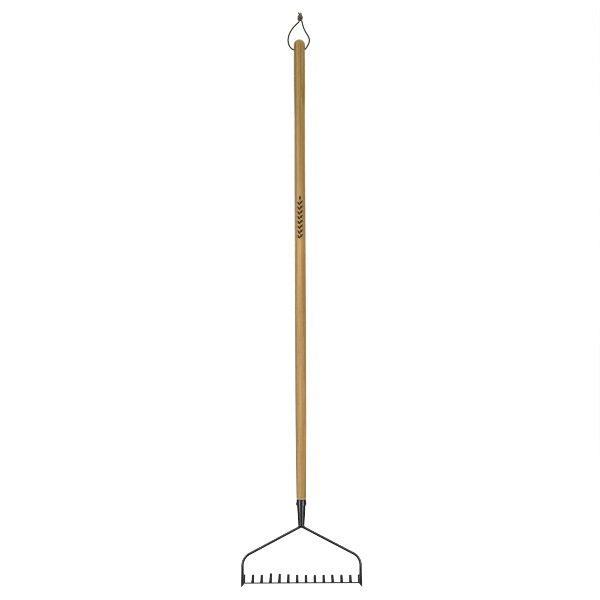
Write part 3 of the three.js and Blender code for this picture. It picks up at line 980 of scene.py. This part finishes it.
def ash_finish():
    """Straight-grained ash under a thin satin varnish: growth rings, pores, and the burnt sprig."""
    f = Finish("ash_wood")
    height = f.axis(2)

    # Growth rings round the pith, which leans a little against the handle. Early wood is darker.
    wander = f.noise(f.scaled(22, 22, 1.6), detail=3)
    x = f.plus(f.axis(0), -PITH_PLACE[0])
    y = f.plus(f.axis(1), -PITH_PLACE[1])
    x = f.plus(x, f.times(height, PITH_LEAN))
    away = f.math("SQRT", f.plus(f.times(x, x), f.times(y, y)))
    away = f.plus(away, f.times(wander, RING_WANDER))
    ring = f.math("FRACT", f.times(away, 1 / RING_PITCH))
    early = f.times(f.span(ring, 0.0, 0.08), f.span(ring, 0.62, 0.12))

    # Streaks, broad bands and pores, all drawn out along the handle.
    streak = f.noise(f.scaled(620, 620, 9), detail=4, roughness=0.6)
    broad = f.noise(f.scaled(120, 120, 2.2), detail=3, roughness=0.55)
    pore = f.noise(f.scaled(2100, 2100, 60), detail=2, roughness=0.5)
    pore = f.times(f.span(pore, 0.56, 0.66), f.span(early, 0.0, 0.9, 0.25, 1.0))

    pale, honey = tone(237, 195, 127), tone(199, 155, 88)
    color = f.mix(f.span(broad, 0.34, 0.66), pale, honey)
    color = f.mix(f.times(early, 0.42), color, tone(180, 133, 76))
    color = f.mix(f.span(streak, 0.45, 0.8, 0.0, 0.38), color, tone(168, 120, 67))
    color = f.mix(f.times(pore, 0.5), color, tone(112, 74, 38))

    # Along the handle: darker and yellower over the upper half and again over the grip, a painted highlight
    # on the dome's top, a raw foot chamfer.
    upper_darkening = f.span(height, 0.95, 1.15, 0.0, 0.9)
    color = f.mix(upper_darkening, color, tone(228, 228, 220), "MULTIPLY")
    grip_darkening = f.span(height, 1.2, 1.42)
    color = f.mix(grip_darkening, color, tone(228, 229, 198), "MULTIPLY")
    # Painted highlight: the dome's top is painted paler, as if lit from above.
    dome_highlight = f.span(height, HANDLE_HIGH.z - 8 * MM, HANDLE_HIGH.z, 0.0, 0.7)
    color = f.mix(dome_highlight, color, tone(205, 192, 160))
    below = f.span(height, COLLAR_HIGH.z + 4.0 * MM, COLLAR_HIGH.z + 3.4 * MM)
    above = f.span(height, COLLAR_HIGH.z - 0.4 * MM, COLLAR_HIGH.z)
    raw = f.times(below, above)
    color = f.mix(f.times(raw, 0.8), color, tone(226, 204, 160))

    # The burnt sprig: charred inside its ragged outline, with a scorched rim round it.
    ragged = f.noise(f.scaled(900, 900, 420), detail=3, roughness=0.6)
    burnt = f.plus(f.attribute("burnt"), f.times(f.plus(ragged, -0.5), 0.5))
    scorch = f.span(burnt, -0.75, 0.1, 0.0, 0.45)
    char = f.span(burnt, -0.12, 0.14)
    color = f.mix(scorch, color, tone(112, 70, 36))
    color = f.mix(f.times(char, 0.95), color, f.mix(ragged, tone(30, 18, 12), tone(62, 39, 25)))

    rough = f.span(f.noise(f.scaled(90, 90, 6), detail=3), 0.3, 0.7, 0.42, 0.56)
    rough = f.math("ADD", rough, f.times(f.math("MAXIMUM", char, raw), 0.25), clamp=True)
    fibre = f.plus(f.times(streak, 0.6), f.times(pore, -0.8))
    normal = f.bump(fibre, 0.1 * MM, 0.55)
    normal = f.bump(f.noise(f.scaled(60, 60, 3)), 0.6 * MM, 0.18, normal)
    return f.done(Base_Color=color, Roughness=rough, Normal=normal, Specular_IOR_Level=0.42)


def steel_finish():
    """Black lacquer over forged steel: semi-gloss, a little uneven, thin at the worn ends."""
    f = Finish("black_steel")
    cloud = f.noise(f.place, 38, detail=4, roughness=0.6)
    grit = f.noise(f.place, 1400, detail=3, roughness=0.6)
    dimple = f.noise(f.place, 210, detail=2, roughness=0.45)
    worn = f.plus(f.attribute("worn"), f.times(f.plus(dimple, -0.5), 0.7))
    worn = f.span(worn, 0.35, 0.75)

    lacquer, thin_lacquer = (0.006, 0.006, 0.0065, 1), (0.013, 0.0125, 0.0125, 1)
    speck, bare_steel = (0.030, 0.029, 0.028, 1), (0.11, 0.098, 0.088, 1)
    color = f.mix(f.span(cloud, 0.3, 0.7), lacquer, thin_lacquer)
    color = f.mix(f.span(grit, 0.55, 0.75, 0, 0.35), color, speck)
    color = f.mix(f.times(worn, 0.55), color, bare_steel)
    rough = f.span(cloud, 0.3, 0.7, 0.25, 0.34)
    rough = f.plus(rough, f.times(worn, 0.08))

    # Dust dulls the faces that look up, such as the flat tops of the tines.
    upward = f.add("SeparateXYZ", {0: f.add("NewGeometry").outputs["True Normal"]}).outputs[2]
    dusty = f.span(upward, 0.6, 0.95)
    rough = f.plus(rough, f.times(dusty, 0.3))
    level = f.span(dusty, 0, 1, 1.0, 0.2)

    normal = f.bump(dimple, 0.22 * MM, 0.35)
    normal = f.bump(grit, 0.03 * MM, 0.5, normal)
    return f.done(Base_Color=color, Roughness=rough, Normal=normal, IOR=1.7, Specular_IOR_Level=level)


def leather_finish():
    """Dark waxed leather lace: a fine creased grain, paler at the cut ends, and on the knot rubbed paler with
    painted highlight and painted shade.
    """
    f = Finish("leather_cord")
    cell = f.add("TexVoronoi", {"Vector": f.place, "Scale": 1500}, feature="F1").outputs["Distance"]
    crease = f.noise(f.place, 700, detail=4, roughness=0.65)
    patch = f.noise(f.place, 90, detail=3)
    color = f.mix(f.span(patch, 0.3, 0.7), tone(26, 20, 13), tone(54, 42, 29))
    color = f.mix(f.span(crease, 0.5, 0.75, 0, 0.45), color, tone(108, 90, 66))

    # The knot is painted paler on its crowns, as rubbed wear and painted highlight, and ambient occlusion
    # keeps it dark between its turns as painted shade.
    height, low, high = f.axis(2), KNOT_PLACE[1] - KNOT_REACH, KNOT_PLACE[1] + KNOT_REACH
    on_knot = f.times(f.span(height, low, low + 6 * MM), f.span(height, high, high - 5 * MM))
    ao_painted_shade = f.add("AmbientOcclusion", {"Distance": 2 * CORD_RADIUS}).outputs["AO"]
    rubbed_and_painted_light = f.times(on_knot, f.span(ao_painted_shade, 0.5, 0.9))
    rubbed_and_painted_light = f.times(rubbed_and_painted_light, f.span(crease, 0.35, 0.6, 0.2, 0.85))
    color = f.mix(rubbed_and_painted_light, color, tone(141, 124, 98))
    color = f.mix(f.times(f.attribute("cut"), 0.8), color, tone(140, 114, 88))

    rough = f.span(patch, 0.3, 0.7, 0.5, 0.66)
    normal = f.bump(cell, 0.08 * MM, 0.5)
    normal = f.bump(crease, 0.25 * MM, 0.5, normal)
    return f.done(Base_Color=color, Roughness=rough, Normal=normal)


# -------- floor, lights and camera

def make_floor():
    """A plain pale sheet under the rake. To the camera it is near white, with a trace of real shade."""
    half, level = 40.0, CAD_LOW.z
    corners = [(-half, -half, level), (half, -half, level), (half, half, level), (-half, half, level)]
    mesh = bpy.data.meshes.new("floor")
    mesh.from_pydata(corners, [], [(0, 1, 2, 3)])
    floor = bpy.data.objects.new("floor", mesh)
    bpy.context.scene.collection.objects.link(floor)
    f = Finish("pale_floor")
    seen = f.camera_ray()
    bounce, shade = (FLOOR_BOUNCE,) * 3 + (1,), (FLOOR_SHADE,) * 3 + (1,)
    mesh.materials.append(f.done(
        Base_Color=f.mix(seen, bounce, shade),
        Roughness=0.9,
        Specular_IOR_Level=0.0,
        Emission_Color=(1, 1, 1, 1),
        Emission_Strength=f.times(seen, FLOOR_GLOW),
    ))
    floor.visible_glossy = False  # the steel mirrors the lights and not the floor
    floor.visible_shadow = False


def make_sky():
    """White where the camera sees it. As a light it is soft from above and fades out at the horizon."""
    world = bpy.data.worlds.new("studio")
    world.use_nodes = True
    n = Nodes(world.node_tree)
    toward = n.add("SeparateXYZ", {0: n.add("TexCoord").outputs["Generated"]}).outputs
    dome = n.span(toward["Z"], 0.02, 0.75, SKY_HORIZON, SKY_LIGHT)
    behind = n.span(toward["Y"], -0.2, 0.6, 1.0, SKY_BEHIND)
    light = n.times(dome, behind)
    strength = n.add("Mix", {0: n.camera_ray(), 2: light, 3: 1.0}, data_type="FLOAT").outputs[0]
    background = n.tree.nodes["Background"]
    n.feed(background.inputs["Color"], (1, 1, 1, 1))
    n.feed(background.inputs["Strength"], strength)
    bpy.context.scene.world = world


def make_softbox(name, place, aim_z, size, watts):
    """A soft rectangular lamp that looks at the handle's axis at a height."""
    light = bpy.data.lights.new(name, "AREA")
    light.shape = "RECTANGLE"
    light.size, light.size_y = size
    light.energy = watts
    made = bpy.data.objects.new(name, light)
    made.location = place
    made.rotation_mode = "QUATERNION"
    made.rotation_quaternion = (Vector((0, AXIS_Y, aim_z)) - Vector(place)).to_track_quat("-Z", "Y")
    bpy.context.scene.collection.objects.link(made)


def make_camera():
    """The photograph's view. Its narrow pixel filter keeps the thin bar crisp."""
    data = bpy.data.cameras.new("camera")
    data.sensor_width = 36
    data.lens = data.sensor_width / 2 / math.tan(CAMERA_FOV / 2)
    camera = bpy.data.objects.new("camera", data)
    camera.location = CAMERA_PLACE
    camera.rotation_euler = (math.pi / 2, CAMERA_ROLL, 0)
    bpy.context.scene.collection.objects.link(camera)
    bpy.context.scene.camera = camera
    bpy.context.scene.cycles.filter_width = PIXEL_SPREAD


# -------- assemble

FINISHES = {"ash_wood": ash_finish(), "black_steel": steel_finish(), "leather_cord": leather_finish()}


def dress(made, slot, node):
    """The piece takes its finish, rides on its body and stands for its CAD node."""
    made.data.materials.clear()
    made.data.materials.append(FINISHES[slot])
    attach(made, made["body_name"])
    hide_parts(node)


dress(make_handle(), "ash_wood", "handle")
dress(make_socket(), "black_steel", "socket")
dress(make_collar(), "black_steel", "collar_ring")
dress(make_rivet(), "black_steel", "socket_rivet")
dress(make_neck_weld(), "black_steel", "neck_weld")
dress(make_bow(), "black_steel", "bow")
dress(make_bar(), "black_steel", "head_bar")
for seed, tine in enumerate(TINES, start=1):
    dress(make_tine(tine, seed), "black_steel", tine)
dress(make_cord(), "leather_cord", "hanging_cord")

make_floor()
make_sky()
make_softbox("left_key", place=(-3.3, -3.3, 0.8), aim_z=0.8, size=(1.7, 3.6), watts=68)
make_softbox("right_key", place=(3.3, -3.3, 0.4), aim_z=0.4, size=(1.8, 3.0), watts=56)
make_softbox("top_front", place=(-0.3, -2.8, 3.7), aim_z=0.8, size=(2.4, 2.0), watts=48)
make_softbox("left_rim", place=(-3.6, 3.6, 3.0), aim_z=0.8, size=(4.0, 4.0), watts=115)
make_softbox("right_rim", place=(3.6, 3.6, 3.0), aim_z=0.8, size=(4.0, 4.0), watts=115)
make_camera()
bpy.context.scene.view_settings.view_transform = "Standard"
